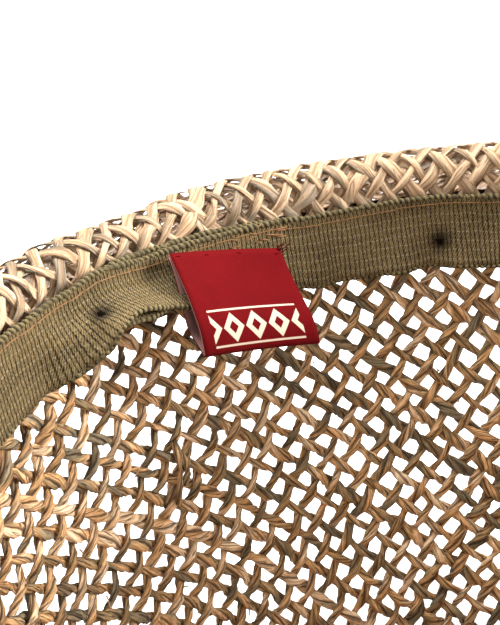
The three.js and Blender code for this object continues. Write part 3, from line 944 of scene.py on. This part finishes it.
def grosgrain(name, light, dark, pale, rib=0.83, row=1.6, border=2.0):
    """Ribbed ribbon: ribs across its width with painted shade in the gaps between them, and rows of pale picks
    along it.

    Rib and row are the distances between them in millimetres, and border is bare of picks. Cloth is the place
    on the flat ribbon in millimetres, and its side.
    """
    s = Shader(name)
    cloth = s.attribute("cloth")
    x, y = s.split(cloth)[:2]
    slip = s.noise(s.stretch(cloth, (0.25, 0.12, 1.0)), 2.0)
    waver = s.noise(s.stretch(cloth, (1.1, 0.7, 1.0)), 2.0)
    across = s.math("ADD", s.math("DIVIDE", x, rib), s.line(slip, 1.2, s.times(waver, 0.55)))
    saw = s.saw(across)
    rib_top = s.node("MapRange", saw, 0.5, 0.26, 0.0, 1.0)
    weave = s.line(across, 4 * math.pi, s.times(y, 2 * math.pi / 0.75))
    plies = s.line(s.math("COSINE", weave), -0.5, 0.5)
    down = s.math("ADD", s.math("DIVIDE", y, row), s.line(slip, 0.7, s.times(waver, 0.2)))
    pick = s.node("MapRange", s.saw(down), 0.0, 0.1, 1.0, 0.0)
    pick = s.times(pick, s.node("MapRange", saw, 0.4, 0.25, 0.0, 1.0))
    pick = s.times(pick, s.node("MapRange", y, border, border + 0.2, 0.0, 1.0))
    fuzz = s.noise(s.stretch(cloth, (3.6, 2.4, 1.0)), 5.0, 0.8)
    pick = s.times(pick, s.node("MapRange", fuzz, 0.35, 0.55, 0.2, 1.0))
    patch = s.noise(s.stretch(cloth, (0.1, 0.2, 1.0)), 2.0)
    stain = s.split(s.attribute("stain"))[0]
    height = s.line(fuzz, 1.2, s.line(pick, 0.3, s.line(plies, 0.5, rib_top)))
    # Painted shade: the colour darkens in the gaps between the ribs, where rib_top falls to 0.
    level = s.line(plies, 0.5, s.line(fuzz, 2.6, s.times(rib_top, 0.55)))
    level = s.line(patch, 0.6, s.minus(level, 1.85))
    colour = s.ramp(level, [(0.0, dark), (0.9, light)])
    colour = s.blend(s.times(pick, 0.75), colour, pale)
    # The cloth is made darker round each knot.
    colour = s.blend(s.times(stain, 0.95, clamp=True), colour, dark)
    return s.surface(colour, height, 0.0003, 0.9, Roughness=0.9, Specular_IOR_Level=0.15)


def corded(name, light, dark):
    """The cord along a ribbon's edge, with painted shade between its bumps. The third coordinate of its cloth
    is high on each bump.
    """
    s = Shader(name)
    cloth = s.attribute("cloth")
    bump = s.split(cloth)[2]
    fuzz = s.noise(s.stretch(cloth, (4.0, 5.0, 0.5)), 3.0, 0.8)
    # Painted shade and light: the cord is darker between its bumps and lighter on them.
    level = s.line(bump, 0.42, s.line(fuzz, 1.6, -0.52))
    colour = s.ramp(level, [(0.0, dark), (0.8, light)])
    return s.surface(colour, fuzz, 0.0002, 0.6, Roughness=0.85, Specular_IOR_Level=0.2)


def woven_label(name, ground, shade, wrong, figure, width):
    """Label satin: crimson outside, dull inside, with a band of cream lozenges between two lines.

    Width is that of the strip's three stretches: the back ply, the fold and the front ply.
    """
    pitch, middle, half, left, right = 4.3, 3.6, 3.4, 2.2, 19.2
    s = Shader(name)
    cloth = s.attribute("cloth")
    x, y, side = s.split(cloth)
    twill = s.math("SINE", s.times(s.math("ADD", x, s.times(y, 0.6)), 2 * math.pi / 0.34))
    fuzz = s.noise(s.stretch(cloth, (6.0, 6.0, 1.0)), 4.0, 0.7)
    patch = s.noise(s.stretch(cloth, (0.2, 0.2, 1.0)), 2.0)
    level = s.line(twill, 0.08, s.line(fuzz, 0.6, s.times(patch, 0.3)))
    red = s.ramp(level, [(0.2, shade), (0.75, ground)])
    # Up is the way up the front ply from the fold.
    up = s.minus(y, 2 * width)

    def inside(value, low, high):
        return s.times(s.math("GREATER_THAN", value, low), s.math("LESS_THAN", value, high))

    tall = s.math("ABSOLUTE", s.math("DIVIDE", s.minus(up, middle), half))
    off = s.line(s.saw(s.math("DIVIDE", x, pitch)), 2.0, s.times(tall, 1.25))
    lozenge = inside(off, 0.4, 0.92)
    lines = s.math("ADD", inside(up, 0.5, 0.85), inside(up, 6.5, 6.85))
    art = s.times(s.math("MAXIMUM", lozenge, lines), inside(x, left, right))
    art = s.times(art, s.math("GREATER_THAN", up, 0.3))
    front = s.times(s.math("GREATER_THAN", side, 0.5), art)
    colour = s.blend(front, red, figure)
    colour = s.blend(s.math("LESS_THAN", side, 0.5), colour, s.blend(fuzz, wrong, shade))
    height = s.line(twill, 0.2, fuzz)
    return s.surface(colour, height, 0.00015, 0.8, Roughness=0.85, Specular_IOR_Level=0.06)


def plain(name, colour, roughness, shine=0.2):
    """One colour with a fine unevenness."""
    s = Shader(name)
    place = s.node("TexCoord", out="Object")
    spots = s.noise(s.stretch(place, (900.0, 900.0, 900.0)), 2.0)
    level = s.line(spots, 0.1, 0.95)
    tinted = s.blend(1.0, colour, s.node("CombineXYZ", level, level, level), "MULTIPLY")
    return s.surface(tinted, Roughness=roughness, Specular_IOR_Level=shine)


# -------- the hat

# The third colour given to each straw is the painted shade of its creases.
crown_straw = straw(
    "crown_straw",
    [
        (0.0, (0.25, 0.19, 0.11)), (0.3, (0.46, 0.285, 0.13)),
        (0.55, (0.7, 0.37, 0.15)), (1.0, (0.9, 0.62, 0.37)),
    ],
    (0.04, 0.015, 0.005), 3.6, 0.0004,
)
brim_straw = straw(
    "brim_straw",
    [
        (0.0, (0.27, 0.21, 0.14)), (0.3, (0.47, 0.325, 0.195)),
        (0.6, (0.6, 0.385, 0.22)), (1.0, (0.6, 0.405, 0.245)),
    ],
    (0.26, 0.15, 0.075), 1.1, 0.0002,
)
band_cloth = grosgrain("sweatband_ribbon", (0.28, 0.197, 0.089), (0.01, 0.0058, 0.002), (0.4, 0.34, 0.19))
band_cord = corded("sweatband_edge", (0.19, 0.145, 0.064), (0.012, 0.009, 0.004))
outer_cloth = grosgrain("hatband_ribbon", (0.06, 0.036, 0.022), (0.012, 0.008, 0.005), (0.06, 0.036, 0.022))
label_cloth = woven_label(
    "label_cloth", (0.16, 0.0024, 0.004), (0.085, 0.0013, 0.002), (0.5, 0.3, 0.27), (0.62, 0.5, 0.38),
    LABEL_LENGTH,
)

build_crown(crown_straw)
build_brim(brim_straw)

loft, length = ribbon(
    sweatband, np.linspace(*BAND_ENDS, 640), np.linspace(0, 1, 15), BAND_THICK, 0.3, BAND_WIDTH, TACKS,
)
band = loft.build("sweatband_cloth", band_cloth, 30.0, "sweatband_ribbon", "sweatband")
sewn = edge_cord(
    sweatband, np.linspace(*BAND_ENDS, 3200), 0.02, 0.3,
    radius=0.54, pitch=1.05, depth=0.2, slant=0.9, inner=0.1,
).build("sweatband_sewn_edge", band_cord, 20.0, "sweatband_ribbon")
free = edge_cord(
    sweatband, np.linspace(*BAND_ENDS, 2600), 1.0, 0.3,
    radius=0.4, pitch=1.0, depth=0.15, slant=0.0,
).build("sweatband_free_edge", band_cord, 12.0, "sweatband_ribbon")


def threads(maker, name, material, slot):
    """One piece of all the threads that a function lays."""
    loft = Loft(6)
    maker(loft)
    return loft.build(name, material, 6.0, slot)


brown = plain("brown_thread", (0.27, 0.135, 0.055), 0.6)
dark = plain("dark_thread", (0.006, 0.004, 0.003), 1.0, 0.0)
red = plain("red_thread", (0.05, 0.003, 0.004), 1.0, 0.0)
stitching = threads(seam, "stitching", brown, "sweatband_ribbon")
knots = threads(tacks, "tacks", dark, "sweatband_ribbon")
ends = threads(label_stitches, "label_stitching", red, "label_cloth")

loft, length = ribbon(
    hatband, np.linspace(*HATBAND_ENDS, 300), np.linspace(0, 1, 10), BAND_THICK, 0.3, HATBAND_WIDTH,
)
outer = loft.build("hatband_cloth", outer_cloth, 20.0, "hatband_ribbon", "hatband")

path = np.concatenate([np.linspace(0, 1, 16), np.linspace(1, 2, 7)[1:], np.linspace(2, 3, 16)[1:]])
loft, length = ribbon(label, np.linspace(0, 1, 26), path, 0.5, 1e-3, LABEL_LENGTH)
tag = loft.build("label_loop", label_cloth, 70.0, "label_cloth", "label")

# -------- stage and light

floor_mesh = bpy.data.meshes.new("floor")
floor_mesh.from_pydata([(-3, -3, 0), (3, -3, 0), (3, 3, 0), (-3, 3, 0)], [], [(0, 1, 2, 3)])
floor = link(bpy.data.objects.new("floor", floor_mesh))
floor_mesh.materials.append(plain("floor", (0.93, 0.93, 0.93), 0.9))

world = bpy.data.worlds.new("studio")
world.use_nodes = True
background = world.node_tree.nodes["Background"]
background.inputs["Color"].default_value = (1, 1, 1, 1)
background.inputs["Strength"].default_value = 1.0
bpy.context.scene.world = world

# Name, place, width in metres and power in watts of each round lamp, which faces the middle of the hat.
LAMPS = [("top_light", (-0.1, 0.35, 1.8), 1.2, 62), ("side_light", (1.5, -0.62, 0.42), 0.9, 90)]
for name, place, size, power in LAMPS:
    lamp = link(bpy.data.objects.new(name, bpy.data.lights.new(name, "AREA")))
    lamp.data.shape = "DISK"
    lamp.data.size = size
    lamp.data.energy = power
    lamp.location = place
    lamp.rotation_euler = (Vector((0, 0, 0.1)) - Vector(place)).to_track_quat("-Z", "Y").to_euler()

bpy.context.scene.view_settings.view_transform = "Standard"
bpy.context.scene.view_settings.look = "None"
